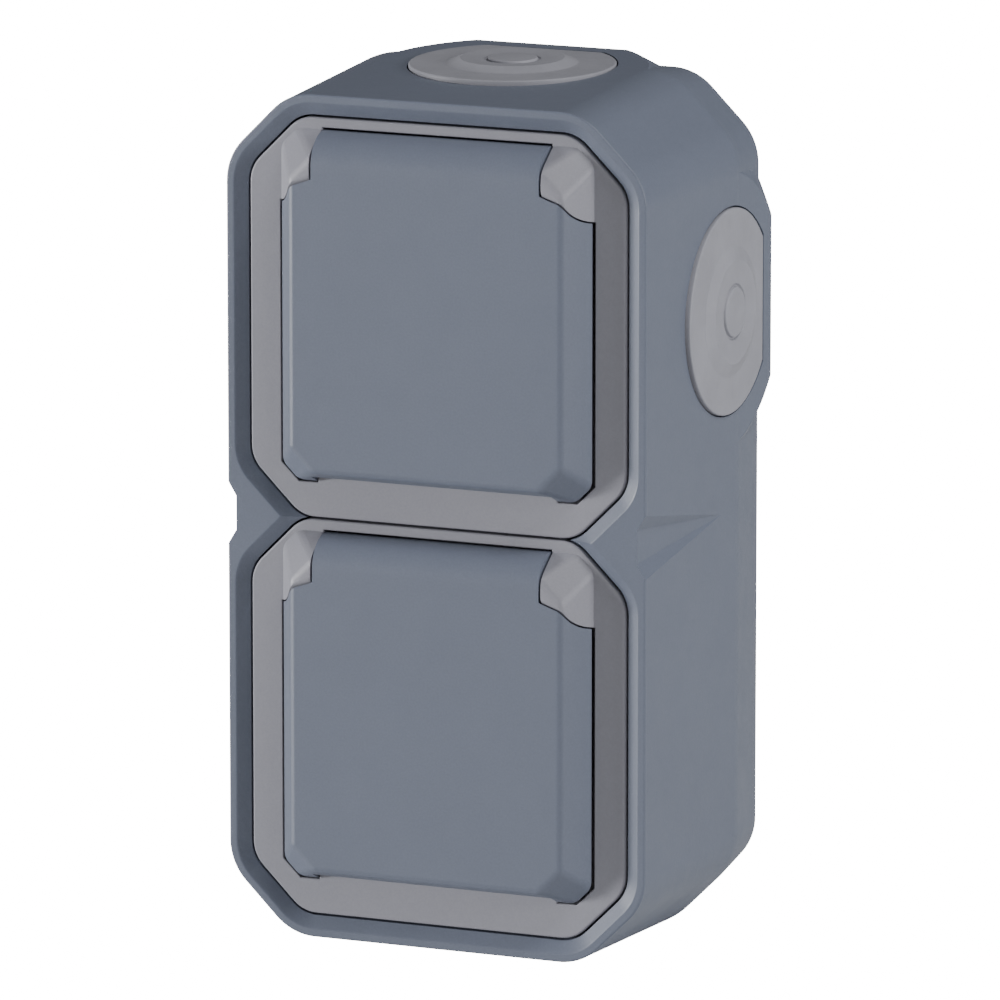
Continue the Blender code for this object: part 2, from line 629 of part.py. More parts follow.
def make_carrier(gang, origin, material):
    """Insulating block behind the well with chambers for the contacts and terminals."""
    low = (-CARRIER_HALF_X, CARRIER_FRONT, -CARRIER_HALF_Z)
    high = (CARRIER_HALF_X, CARRIER_BACK, CARRIER_HALF_Z)
    carrier = add_object(gang + "_contact_carrier", block(low, high), origin, material)
    stop = block((0.0035, SHUTTER_FRONT, 0.0131), (0.0080, CARRIER_FRONT + 0.001, 0.0146))
    join(carrier, add_object("spring_stop", stop, origin))
    for side in (-1, 1):
        x_low, x_high = sorted((side * 0.0045, side * 0.0150))
        chamber = block((x_low, CARRIER_FRONT - 0.001, -0.0060), (x_high, CARRIER_BACK - 0.0015, 0.0115))
        wire_start = (side * 0.0118, CARRIER_BACK - 0.004, 0.0080)
        wire_end = (side * 0.0118, CARRIER_BACK + 0.001, 0.0080)
        wire_hole = cone(wire_start, wire_end, 0.0016, segments=12)
        access = cone((side * 0.0120, 0.0340, 0.0080), (side * 0.0200, 0.0340, 0.0080), 0.0016, segments=12)
        cut(carrier, add_object("contact_chamber", chamber, origin),
            add_object("wire_hole", wire_hole, origin), add_object("terminal_access", access, origin))
    centre = cone((0, CARRIER_FRONT - 0.001, 0), (0, 0.0390, 0), SCREW_RADIUS + CLEAR, segments=12)
    cut(carrier, add_object("carrier_bore", centre, origin))
    return carrier


def make_contact(name, side, origin, material):
    """Spring contact: a slotted sleeve that grips a plug pin, with a terminal block above it."""
    depth = CARRIER_FRONT + 0.0006
    x = side * PIN_SPACING
    sleeve = cone((x, depth, 0), (x, depth + 0.0100, 0), 0.0036, segments=16)
    contact = add_object(name, sleeve, origin, material)
    x_low, x_high = sorted((side * 0.0086, side * 0.0145))
    terminal = block((x_low, depth + 0.0028, 0.0030), (x_high, depth + 0.0100, 0.0110))
    join(contact, add_object("terminal_block", terminal, origin))
    bore = cone((x, depth - 0.001, 0), (x, depth + 0.0095, 0), 0.0024, segments=16)
    relief = block((x - 0.0004, depth - 0.001, -0.005), (x + 0.0004, depth + 0.0070, 0))
    entry = cone((side * 0.0118, depth + 0.0040, 0.0080), (side * 0.0118, depth + 0.0110, 0.0080), 0.0013,
                 segments=12)
    thread = cone((side * 0.0105, 0.0340, 0.0080), (side * 0.0200, 0.0340, 0.0080), 0.0011, segments=12)
    cut(contact, add_object("pin_bore", bore, origin), add_object("grip_slot", relief, origin),
        add_object("wire_entry", entry, origin), add_object("terminal_thread", thread, origin))
    return contact


def make_terminal_screw(name, side, origin, material):
    """Clamping screw of a terminal, reached through the side of the carrier."""
    bm = cone((side * 0.0112, 0.0340, 0.0080), (side * 0.0183, 0.0340, 0.0080), 0.0008, segments=12)
    return add_object(name, bm, origin, material)


def make_earth_clip(gang, origin, material):
    """One strip bent round the carrier, with a spring finger above and below the plug."""
    strip, half_width = 0.0008, 0.0024
    back = CARRIER_BACK + CLEAR
    run = 0.0196
    path = [(back, run), (0.0262, run + 0.0006), (0.0170, run - 0.0012), (0.0125, run - 0.0028),
            (0.0098, run - 0.0004)]
    offset = [(back + strip, run + strip), (0.0262, run + 0.0006 + strip), (0.0168, run - 0.0012 + strip),
              (0.0125, run - 0.0028 + strip * 1.1), (0.0104, run - 0.0004 + strip)]
    outline = path + offset[::-1] + [(y, -z) for y, z in offset] + [(y, -z) for y, z in path[::-1]]
    bm = bmesh.new()
    ring = [bm.verts.new((-half_width, y, z)) for y, z in outline]
    face = bm.faces.new(ring)
    extruded = bmesh.ops.extrude_face_region(bm, geom=[face])
    ends = [item for item in extruded["geom"] if isinstance(item, bmesh.types.BMVert)]
    bmesh.ops.translate(bm, verts=ends, vec=(2 * half_width, 0, 0))
    return add_object(gang + "_earth_clip", bm, origin, material)


def make_support_frame(gang, origin, material):
    """Steel plate that ties the insert to the housing posts."""
    outline = rounded(corner_cut(0.0326, -0.0270, 0.0270, 0.0070), 0.002, 2)
    frame = add_object(gang + "_support_frame", prism(outline, FRAME_FRONT, FRAME_BACK), origin, material)
    hole = cone((0, 0, 0), (0, 0.02, 0), WELL_RADIUS + CLEAR, segments=48)
    cut(frame, add_object("frame_hole", hole, origin))
    for side in (-1, 1):
        bore = cone((side * SCREW_SPAN, 0.005, 0), (side * SCREW_SPAN, 0.02, 0), 0.0018, segments=12)
        cut(frame, add_object("frame_screw_hole", bore, origin))
    return frame


def make_frame_gasket(gang, origin, material):
    outer = rounded(corner_cut(0.0350, -0.0350, 0.0350, CHAMFER), CORNER_RADIUS, 3)
    inner = rounded(corner_cut(0.0336, -0.0336, 0.0336, CHAMFER - 0.0008), CORNER_RADIUS - 0.0014, 3)
    front, back = BEZEL_DEPTH + CLEAR, LEDGE_FRONT - CLEAR
    gasket = add_object(gang + "_frame_gasket", prism(outer, front, back), origin, material)
    cut(gasket, add_object("gasket_opening", prism(inner, front - 0.001, back + 0.001), origin))
    return gasket


# --- assembly ------------------------------------------------------------------------------

def make_gang(gang, height, finish):
    origin = Vector((0, -DEPTH, height))
    make_bezel(gang, origin, finish["bezel"])
    make_cover(gang, origin, finish["housing"])
    make_cover_seal(gang, origin, finish["rubber"])
    make_hinge_pin(gang, origin, finish["steel"])
    make_cover_spring(gang, origin, finish["steel"])
    make_well(gang, origin, finish["insert"])
    make_shutter(gang, origin, finish["shutter"])
    make_shutter_spring(gang, origin, finish["steel"])
    make_carrier(gang, origin, finish["carrier"])
    make_earth_clip(gang, origin, finish["brass"])
    make_support_frame(gang, origin, finish["steel"])
    make_frame_gasket(gang, origin, finish["rubber"])
    screw(gang + "_centre_screw", (0, WELL_FLOOR - CLEAR, 0), 0.0032, 0.0018, SCREW_RADIUS, 0.0150, origin,
          finish["steel"])
    for side, word, contact in ((-1, "left", "live"), (1, "right", "neutral")):
        make_contact(gang + "_" + contact + "_contact", side, origin, finish["brass"])
        make_terminal_screw(gang + "_" + contact + "_terminal_screw", side, origin, finish["steel"])
        screw(gang + "_" + word + "_frame_screw", (side * SCREW_SPAN, FRAME_FRONT - CLEAR, 0), 0.0029, 0.0017,
              SCREW_RADIUS, 0.0110, origin, finish["steel"], 12)


clear_scene()
model = new_collection("double_socket_outlet")
cutters = new_collection("cutters")
finishes = {
    "housing": make_material("slate_grey_plastic", (0.180, 0.205, 0.250), 0.45),
    "bezel": make_material("light_grey_plastic", (0.400, 0.405, 0.430), 0.45),
    "grommet": make_material("grey_elastomer", (0.330, 0.330, 0.360), 0.60),
    "rubber": make_material("black_rubber", (0.020, 0.020, 0.022), 0.80),
    "insert": make_material("pale_grey_insert", (0.450, 0.455, 0.470), 0.40),
    "shutter": make_material("dark_grey_shutter", (0.080, 0.080, 0.085), 0.50),
    "carrier": make_material("white_carrier", (0.620, 0.610, 0.580), 0.50),
    "steel": make_material("plated_steel", (0.560, 0.570, 0.580), 0.30, 1.0),
    "brass": make_material("contact_brass", (0.720, 0.520, 0.250), 0.28, 1.0),
}
make_housing(finishes["housing"])
make_grommet("top_cable_grommet", True, finishes["grommet"])
make_grommet("right_cable_grommet", False, finishes["grommet"])
for gang_name, gang_height in GANGS.items():
    make_gang(gang_name, gang_height, finishes)
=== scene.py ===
"""Looks of a splash-proof double socket outlet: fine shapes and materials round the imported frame.

Shapes are drawn in metres: X to the right, Y as the depth behind the bezels' front faces, and Z from
the gang's centre, or from the middle of the housing for the housing and its grommets.
"""
import json
import math

import bmesh
import bpy
from mathutils import Matrix, Vector


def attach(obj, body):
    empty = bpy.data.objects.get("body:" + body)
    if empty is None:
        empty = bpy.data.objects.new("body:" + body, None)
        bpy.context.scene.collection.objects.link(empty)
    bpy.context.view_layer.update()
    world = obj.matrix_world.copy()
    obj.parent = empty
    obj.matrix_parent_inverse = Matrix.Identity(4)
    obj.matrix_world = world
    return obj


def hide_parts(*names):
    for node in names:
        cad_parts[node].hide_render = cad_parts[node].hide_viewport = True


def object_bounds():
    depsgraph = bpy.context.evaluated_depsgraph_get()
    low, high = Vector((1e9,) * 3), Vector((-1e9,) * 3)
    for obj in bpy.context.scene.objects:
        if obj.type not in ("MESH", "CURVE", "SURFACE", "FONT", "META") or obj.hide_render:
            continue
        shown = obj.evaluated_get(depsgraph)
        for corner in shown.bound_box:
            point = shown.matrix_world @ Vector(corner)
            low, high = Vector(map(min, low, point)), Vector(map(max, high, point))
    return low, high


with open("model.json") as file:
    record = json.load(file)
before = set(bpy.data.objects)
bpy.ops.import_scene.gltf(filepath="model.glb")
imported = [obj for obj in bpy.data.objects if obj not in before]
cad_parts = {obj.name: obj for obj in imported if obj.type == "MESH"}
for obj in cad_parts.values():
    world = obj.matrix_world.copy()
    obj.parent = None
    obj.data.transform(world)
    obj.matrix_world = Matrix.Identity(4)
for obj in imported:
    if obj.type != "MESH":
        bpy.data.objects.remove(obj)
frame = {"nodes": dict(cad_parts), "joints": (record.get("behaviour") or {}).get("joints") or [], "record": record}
cad_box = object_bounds()

# Places come from the frame
hinges = {joint["name"].split("_")[0]: Vector(joint["pos_m"]) for joint in frame["joints"]
          if joint["name"].endswith("_cover_hinge")}
HINGE_HEIGHT = 0.0275
DEPTH = -hinges["upper"].y
GANGS = {name: pos - Vector((0, 0, HINGE_HEIGHT)) for name, pos in hinges.items()}
PITCH = GANGS["upper"].z - GANGS["lower"].z
WALL_CENTRE = Vector((0, -DEPTH, 0))

# Outlines: chamfered corners, rounded again
GAP = 0.0004                  # between the two bezels
BEZEL_HALF = PITCH / 2 - GAP / 2
CHAMFER = 0.0095
CORNER = 0.0063
MITRE = 0.5858                # growth of a 45 degree chamfer per unit of offset
# Housing
REACH = 0.0394                # half the housing's width
RIM_RISE = 0.00105            # rim in front of the bezels' faces
RIM_LIP = 0.0004
WALL = 0.0024
LEDGE_FRONT, LEDGE_BACK = 0.0106, 0.0126
LEDGE_HALF = 0.0330
FLARE = 0.0452                # outward slope of the walls in front of the fold
FOLD = 0.0374                 # depth at which the walls turn back in
REAR_EDGE = 0.0004
NOTCH_BACK = 0.031            # depth at which the waist notch runs out
FIXING_X, FIXING_Z, FIXING_RADIUS, SINK_RADIUS = 0.025, 0.060, 0.0026, 0.0046
POST_X, POST_FRONT, POST_RADIUS = 0.030, 0.0121, 0.0035
# Grommets and their pads
PAD_RADIUS, PAD_SLOPE = 0.0229, 1.80
GROMMET_DEPTH = 0.0334
FLANGE_RISE, FLANGE_TILT, FLANGE_FLAT = 0.0019, 0.0165, 0.0143
POCKET_RADIUS, GROMMET_HOLE = 0.0185, 0.0143
# Cover and knuckles: a bevelled block from a small front outline to a larger foot outline
COVER_RISE = 0.00565
FRONT_HALF, FRONT_LOW, FRONT_CUT = 0.0255, -0.0263, 0.0043
FOOT_HALF, FOOT_LOW, FOOT_TOP, FOOT_CUT = 0.0291, -0.02875, 0.0330, 0.0030
FOOT_DEPTH = -0.0003
EDGE = 0.0009                 # rounding of the block's edges
SKIN = 0.0020
BARREL, BARREL_HALF = 0.00565, 0.0214
KNUCKLE_START, KNUCKLE_END = 0.0217, 0.0295
KNUCKLE_INNER, KNUCKLE_OUTER = 0.00575, 0.0070
PIN_BORE = 0.0013
# Bezel
BEZEL_LIP, BEZEL_BACK = 0.0004, 0.0080
WINDOW_LIP = 0.00025
TUB_FLOOR = 0.0062
WELL_RADIUS = 0.0223


# --- mesh helpers --------------------------------------------------------------------------

def to_object(name, bm):
    bmesh.ops.recalc_face_normals(bm, faces=bm.faces)
    mesh = bpy.data.meshes.new(name)
    bm.to_mesh(mesh)
    bm.free()
    obj = bpy.data.objects.new(name, mesh)
    bpy.context.scene.collection.objects.link(obj)
    return obj


def bake(obj):
    """Apply the object's modifiers to its mesh."""
    graph = bpy.context.evaluated_depsgraph_get()
    mesh = bpy.data.meshes.new_from_object(obj.evaluated_get(graph))
    obj.modifiers.clear()
    obj.data = mesh
    return obj


def combine(obj, shapes, operation):
    for shape in shapes:
        modifier = obj.modifiers.new("combine", 'BOOLEAN')
        modifier.operation = operation
        modifier.solver = 'EXACT'
        modifier.object = shape
    bake(obj)
    for shape in shapes:
        bpy.data.objects.remove(shape)
    return obj


def cut(obj, *shapes):
    return combine(obj, shapes, 'DIFFERENCE')


def join(obj, *shapes):
    return combine(obj, shapes, 'UNION')


def soften(obj, width, segments=2, angle=28):
    """Round the edges that are sharper than an angle."""
    modifier = obj.modifiers.new("soften", 'BEVEL')
    modifier.width = width
    modifier.segments = segments
    modifier.limit_method = 'ANGLE'
    modifier.angle_limit = math.radians(angle)
    modifier.use_clamp_overlap = True
    return bake(obj)


def finish_piece(obj, body, node, slot, origin, angle=26):
    """Smooth shading with flat faces kept flat, then the piece takes its node's place on the frame."""
    obj.data.transform(Matrix.Translation(origin))
    obj.data.shade_smooth()
    obj.data.set_sharp_from_angle(angle=math.radians(angle))
    weighted = obj.modifiers.new("weighted", 'WEIGHTED_NORMAL')
    weighted.keep_sharp = True
    weighted.weight = 100
    bake(obj)
    obj.data.materials.clear()
    obj.data.materials.append(MATERIALS[slot])
    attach(obj, body)
    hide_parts(node)


def offset(points, distance):
    """Move every side of a closed XZ outline outwards, with mitred corners."""
    area = sum(a[0] * b[1] - b[0] * a[1] for a, b in zip(points, points[1:] + points[:1]))
    sign = 1 if area > 0 else -1
    moved = []
    for index, point in enumerate(points):
        corner = Vector(point)
        before = (corner - Vector(points[index - 1])).normalized()
        after = (Vector(points[(index + 1) % len(points)]) - corner).normalized()
        n1 = Vector((before.y, -before.x)) * sign
        n2 = Vector((after.y, -after.x)) * sign
        moved.append(tuple(corner + (n1 + n2) * distance / (1 + n1.dot(n2))))
    return moved


def corner_cut(half, low, high, chamfer):
    """Rectangle with its corners cut at 45 degrees."""
    return [(half, low + chamfer), (half, high - chamfer), (half - chamfer, high), (chamfer - half, high),
            (-half, high - chamfer), (-half, low + chamfer), (chamfer - half, low), (half - chamfer, low)]


def rounded(points, radius, steps=10):
    """Closed outline with every corner turned into an arc."""
    outline = []
    for index, point in enumerate(points):
        corner = Vector(point)
        before = (Vector(points[index - 1]) - corner).normalized()
        after = (Vector(points[(index + 1) % len(points)]) - corner).normalized()
        half_angle = before.angle(after) / 2
        centre = corner + (before + after).normalized() * radius / math.sin(half_angle)
        start = corner + before * radius / math.tan(half_angle) - centre
        turn = math.pi - 2 * half_angle
        if before.x * after.y - before.y * after.x > 0:
            turn = -turn
        for step in range(steps + 1):
            outline.append(tuple(centre + Matrix.Rotation(turn * step / steps, 2) @ start))
    return outline


def octagon(grow):
    """Bezel outline grown outwards by a distance."""
    half = BEZEL_HALF + grow
    return rounded(corner_cut(half, -half, half, CHAMFER + grow * MITRE), CORNER + grow)


def box_outline(inset):
    """Housing outline round both gangs, moved inwards by a distance."""
    grow = REACH - BEZEL_HALF - inset
    half = BEZEL_HALF + grow
    tall = half + PITCH / 2
    return rounded(corner_cut(half, -tall, tall, CHAMFER + grow * MITRE), CORNER + grow, 12)


def loft(levels):
    """Closed solid through XZ outlines at given depths."""
    bm = bmesh.new()
    rings = [[bm.verts.new((x, y, z)) for x, z in outline] for outline, y in levels]
    count = len(rings[0])
    for a, b in zip(rings, rings[1:]):
        for i in range(count):
            bm.faces.new((a[i], a[(i + 1) % count], b[(i + 1) % count], b[i]))
    bm.faces.new(rings[0])
    bm.faces.new(rings[-1][::-1])
    return bm


def block(low, high):
    low, high = Vector(low), Vector(high)
    bm = bmesh.new()
    size = Matrix.Diagonal((*(high - low), 1.0))
    bmesh.ops.create_cube(bm, size=1.0, matrix=Matrix.Translation((low + high) / 2) @ size)
    return bm


def cone(start, end, radius, end_radius=None, segments=64):
    start, end = Vector(start), Vector(end)
    direction = end - start
    turn = Vector((0, 0, 1)).rotation_difference(direction).to_matrix().to_4x4()
    bm = bmesh.new()
    bmesh.ops.create_cone(bm, cap_ends=True, segments=segments, radius1=radius,
                          radius2=radius if end_radius is None else end_radius, depth=direction.length,
                          matrix=Matrix.Translation((start + end) / 2) @ turn)
    return bm


def lathe(profile, closed=False):
    """Solid turned about the Y axis from (radius, depth) points."""
    bm = bmesh.new()
    points = [bm.verts.new((radius, depth, 0)) for radius, depth in profile]
    edges = [bm.edges.new(pair) for pair in zip(points, points[1:])]
    if closed:
        edges.append(bm.edges.new((points[-1], points[0])))
    bmesh.ops.spin(bm, geom=points + edges, cent=(0, 0, 0), axis=(0, 1, 0), angle=2 * math.pi,
                   steps=128, use_merge=True)
    bmesh.ops.remove_doubles(bm, verts=bm.verts, dist=1e-6)
    return bm


def arc(centre, radius, start, end, steps=4):
    """Points of an arc from one angle to another, in degrees."""
    turn = (end - start) / steps
    return [(centre[0] + radius * math.cos(math.radians(start + turn * i)),
             centre[1] + radius * math.sin(math.radians(start + turn * i))) for i in range(steps + 1)]


def lip(radius, steps=5):
    """(inset, depth) pairs of a rounded front edge."""
    turns = [math.pi / 2 * i / steps for i in range(steps + 1)]
    return [(radius * (1 - math.sin(turn)), radius * (1 - math.cos(turn))) for turn in turns]


# --- materials -----------------------------------------------------------------------------

class Shader:
    """Small helper to wire a node material."""

    def __init__(self, name):
        self.material = bpy.data.materials.new(name)
        self.material.use_nodes = True
        self.tree = self.material.node_tree
        self.bsdf = self.tree.nodes["Principled BSDF"]
        self.coords = self.tree.nodes.new("ShaderNodeTexCoord").outputs["Object"]

    def noise(self, scale, detail=3.0, rough=0.5, stretch=None):
        node = self.tree.nodes.new("ShaderNodeTexNoise")
        node.inputs["Scale"].default_value = scale
        node.inputs["Detail"].default_value = detail
        node.inputs["Roughness"].default_value = rough
        source = self.coords
        if stretch:
            mapping = self.tree.nodes.new("ShaderNodeMapping")
            mapping.inputs["Scale"].default_value = stretch
            self.tree.links.new(source, mapping.inputs["Vector"])
            source = mapping.outputs["Vector"]
        self.tree.links.new(source, node.inputs["Vector"])
        return node.outputs["Fac"]

    def remap(self, value, low, high, out_low, out_high):
        node = self.tree.nodes.new("ShaderNodeMapRange")
        limits = {"From Min": low, "From Max": high, "To Min": out_low, "To Max": out_high}
        for key, number in limits.items():
            node.inputs[key].default_value = number
        self.tree.links.new(value, node.inputs["Value"])
        return node.outputs["Result"]

    def mix(self, factor, first, second):
        node = self.tree.nodes.new("ShaderNodeMix")
        node.data_type = 'RGBA'
        self.tree.links.new(factor, node.inputs["Factor"])
        for key, value in (("A", first), ("B", second)):
            socket = [s for s in node.inputs if s.name == key and s.type == 'RGBA'][0]
            if isinstance(value, tuple):
                socket.default_value = (*value, 1.0)
            else:
                self.tree.links.new(value, socket)
        return [s for s in node.outputs if s.type == 'RGBA'][0]

    def bump(self, height, distance, strength=1.0, after=None):
        node = self.tree.nodes.new("ShaderNodeBump")
        node.inputs["Distance"].default_value = distance
        node.inputs["Strength"].default_value = strength
        self.tree.links.new(height, node.inputs["Height"])
        if after:
            self.tree.links.new(after, node.inputs["Normal"])
        return node.outputs["Normal"]

    def set(self, **sockets):
        for key, value in sockets.items():
            socket = self.bsdf.inputs[key.replace("_", " ")]
            if isinstance(value, (int, float, tuple)):
                socket.default_value = value
            else:
                self.tree.links.new(value, socket)
        return self.material


def shade(colour, factor):
    return tuple(min(c * factor, 1.0) for c in colour)


def moulded(name, colour, rough=0.46, grain=0.00002, spread=0.015):
    """Spark-eroded moulded plastic: fine grain, faint cloudiness, slightly uneven gloss."""
    s = Shader(name)
    cloud = s.remap(s.noise(55, 4, 0.6), 0.3, 0.7, 0.0, 1.0)
    fleck = s.remap(s.noise(2600, 2, 0.5), 0.35, 0.65, 0.0, 1.0)
    base = s.mix(cloud, shade(colour, 1 - spread), shade(colour, 1 + spread))
    tone = s.mix(s.remap(fleck, 0, 1, 0.0, 0.10), base, shade(colour, 1.5))
    height = s.bump(s.noise(1900, 3, 0.6), grain)
    height = s.bump(s.noise(420, 2, 0.5), grain * 0.8, 1.0, height)
    gloss = s.remap(s.noise(140, 3, 0.6), 0.3, 0.7, rough - 0.03, rough + 0.03)
    return s.set(Base_Color=tone, Roughness=gloss, Normal=height, Specular_IOR_Level=0.42)


def elastomer(name, colour, rough):
    """Soft, matt rubber with a slight bloom."""
    s = Shader(name)
    bloom = s.remap(s.noise(90, 5, 0.65), 0.35, 0.7, 0.0, 1.0)
    base = s.mix(bloom, shade(colour, 0.94), shade(colour, 1.07))
    height = s.bump(s.noise(1500, 3, 0.6), 0.00003)
    gloss = s.remap(s.noise(200, 3, 0.5), 0.3, 0.7, rough - 0.06, rough + 0.08)
    return s.set(Base_Color=base, Roughness=gloss, Normal=height, Specular_IOR_Level=0.35)


def metal(name, colour, rough, stretch, mottling=0.12):
    """Plated or bare metal with drawn scratches and light mottling."""
    s = Shader(name)
    spots = s.remap(s.noise(260, 5, 0.65), 0.35, 0.68, 0.0, 1.0)
    base = s.mix(spots, shade(colour, 1 - mottling), shade(colour, 1 + mottling * 0.4))
    streak = s.noise(900, 3, 0.6, stretch)
    gloss = s.remap(streak, 0.3, 0.7, rough - 0.07, rough + 0.12)
    return s.set(Base_Color=base, Roughness=gloss, Normal=s.bump(streak, 0.00001), Metallic=1.0)


SLATE = (0.127, 0.144, 0.190)
LIGHT = (0.252, 0.252, 0.288)
MATERIALS = {
    "slate_grey_plastic": moulded("slate_plastic", SLATE),
    "light_grey_plastic": moulded("light_plastic", LIGHT),
    "grey_elastomer": elastomer("grommet_rubber", (0.285, 0.287, 0.322), 0.55),
    "black_rubber": elastomer("black_seal_rubber", (0.018, 0.018, 0.020), 0.7),
    "pale_grey_insert": moulded("insert_plastic", (0.46, 0.462, 0.47), 0.38, 0.00001, 0.03),
    "dark_grey_shutter": moulded("shutter_plastic", (0.07, 0.07, 0.075), 0.5),
    "white_carrier": moulded("carrier_plastic", (0.60, 0.59, 0.56), 0.5),
    "plated_steel": metal("zinc_plated_steel", (0.60, 0.61, 0.60), 0.28, (1, 6, 1)),
    "contact_brass": metal("strip_brass", (0.74, 0.53, 0.25), 0.26, (6, 1, 1)),
}


# --- housing and grommets ------------------------------------------------------------------

def wall_growth(depth):
    """How far the walls stand outside the housing's rear outline at a given depth."""
    if depth < FOLD:
        return FLARE * depth
    return FLARE * FOLD * (DEPTH - depth) / (DEPTH - FOLD)


def grommet_frame(top):
    """Outward direction of a grommet and the point where its axis leaves the wall."""
    side = Vector((0, -FLANGE_TILT, 1) if top else (1, -FLANGE_TILT, 0)).normalized()
    if top:
        return side, Vector((0, GROMMET_DEPTH, REACH + PITCH / 2))
    return side, Vector((REACH, GROMMET_DEPTH, PITCH / 2))


def pad(top):
    """Pad that carries the walls' slope straight on behind the fold."""
    centre = grommet_frame(top)[1]
    out = Vector((0, 0, 1) if top else (1, 0, 0))
    start, rise = FOLD - 0.004, FLARE * DEPTH
    slope = loft([(box_outline(0.0001 - FLARE * start), start), (box_outline(-rise), DEPTH)])
    spare = 0.002
    flank = cone(centre - out * spare, centre + out * (rise + spare),
                 PAD_RADIUS + PAD_SLOPE * (rise + spare), PAD_RADIUS - PAD_SLOPE * spare, 160)
    return combine(to_object("pad", slope), [to_object("flank", flank)], 'INTERSECT')


def seat(top):
    """Pocket and hole of a grommet."""
    side, centre = grommet_frame(top)
    clear = 0.0003
    pocket = to_object("pocket", cone(centre, centre + side * 0.006, POCKET_RADIUS, segments=128))
    limit = block((-0.06, 0, -0.1), (0.06, GROMMET_DEPTH + FLANGE_FLAT + clear, 0.1))
    combine(pocket, [to_object("limit", limit)], 'INTERSECT')
    hole = cone(centre - side * 0.005, centre + side * 0.001, GROMMET_HOLE, segments=96)
    return pocket, to_object("hole", hole)


def waist_notch(side):
    """Wedge that hollows the side wall between the gangs."""
    start = -0.0021
    mouth = [(-0.0058, 0), (-0.0031, 0.00165), (0.0031, 0.00165), (0.0058, 0), (0.0058, -0.002),
             (-0.0058, -0.002)]
    bm = bmesh.new()
    ring = [bm.verts.new((side * (REACH - inset + FLARE * start), start, z)) for z, inset in mouth]
    tip = bm.verts.new((side * (REACH + FLARE * NOTCH_BACK + 0.00003), NOTCH_BACK, 0))
    for i in range(len(ring)):
        bm.faces.new((ring[i], ring[(i + 1) % len(ring)], tip))
    bm.faces.new(ring)
    return to_object("notch", bm)


def make_housing():
    """Outer wall with its pads, hollowed, opened for the bezels and fitted with holes and posts."""
    fold_curve = ((-0.0012, 0), (-0.0004, 0.00003), (0.0004, 0.00003), (0.0012, 0))
    levels = [(box_outline(inset), depth - RIM_RISE) for inset, depth in lip(RIM_LIP)]
    levels += [(box_outline(0), 0.0)]
    levels += [(box_outline(inset - wall_growth(FOLD + step)), FOLD + step) for step, inset in fold_curve]
    levels += [(box_outline(0), DEPTH - REAR_EDGE), (box_outline(REAR_EDGE), DEPTH)]
    housing = to_object("housing_shell", loft(levels))
    join(housing, pad(False), pad(True))
    floor = DEPTH - WALL
    hollow = loft([(box_outline(WALL - wall_growth(v)), v) for v in (LEDGE_BACK, FOLD, floor)])
    cut(housing, to_object("cavity", hollow))
    slope = [(0.0060, -0.0017), (0.0034, -0.00118), (0.00290, -0.00108), (0.00262, -0.00100),
             (0.00238, -0.00088), (0.0004, 0.0003), (0.0004, LEDGE_FRONT)]
    inner = rounded(corner_cut(LEDGE_HALF, -LEDGE_HALF, LEDGE_HALF, CHAMFER), CORNER)
    for place in GANGS.values():
        opening = to_object("opening", loft([(octagon(grow), depth) for grow, depth in slope]))
        ledge = to_object("ledge", loft([(inner, LEDGE_FRONT - 0.001), (inner, LEDGE_BACK + 0.001)]))
        for shape in (opening, ledge):
            shape.data.transform(Matrix.Translation((0, 0, place.z)))
        cut(housing, opening, ledge)
    for side in (-1, 1):
        cut(housing, waist_notch(side))
        x = side * FIXING_X
        for z in (-FIXING_Z, FIXING_Z):
            hole = cone((x, floor - 0.001, z), (x, DEPTH + 0.001, z), FIXING_RADIUS, segments=40)
            sink = cone((x, floor - 0.0002, z), (x, floor + 0.0010, z), SINK_RADIUS, FIXING_RADIUS, 40)
            cut(housing, to_object("fixing_hole", hole), to_object("countersink", sink))
        x = side * POST_X
        for z in (GANGS["upper"].z, GANGS["lower"].z):
            post = cone((x, POST_FRONT, z), (x, floor + 0.001, z), POST_RADIUS)
            join(housing, to_object("post", post))
    cut(housing, *seat(False), *seat(True))
    finish_piece(housing, "box", "housing", "slate_grey_plastic", WALL_CENTRE)


def make_grommet(node, top):
    """Membrane grommet: flat flange, sloping ring and a centre button in a groove."""
    side, centre = grommet_frame(top)
    profile = [(0.0, -0.00095), (0.0037, -0.00095)] + arc((0.0042, -0.00072), 0.00022, 270, 350, 4)
    profile += [(0.00450, -0.00042), (0.0048, -0.00040), (0.0050, -0.00066), (0.0054, -0.00072)]
    profile += [(0.0087, -0.00094)] + arc((0.0091, -0.00064), 0.0003, 265, 292, 3)
    profile += [(0.0113, -0.00008), (0.0116, -0.00001), (0.0120, 0.0), (0.0178, 0.0)]
    profile += arc((0.01792, 0.00028), 0.00028, 275, 355, 5)
    profile += [(0.0182, 0.0006), (0.0182, 0.0016), (0.0140, 0.0016)]
    profile += [(0.0140, 0.0046), (0.0153, 0.0049), (0.0136, 0.0070), (0.0122, 0.0070), (0.0118, 0.0018)]
    profile += [(0.0100, 0.0010), (0.0, 0.0004)]
    bm = lathe(profile)
    turn = Vector((0, -1, 0)).rotation_difference(side).to_matrix().to_4x4()
    bmesh.ops.transform(bm, matrix=turn, verts=bm.verts)
    grommet = to_object(node + "_membrane", bm)
    limit = block((-0.03, -0.03, -0.03), (0.03, FLANGE_FLAT, 0.03))
    combine(grommet, [to_object("limit", limit)], 'INTERSECT')
    place = centre + side * FLANGE_RISE + WALL_CENTRE
    finish_piece(grommet, "box", node, "grey_elastomer", place, 40)


# --- bezel and cover -----------------------------------------------------------------------

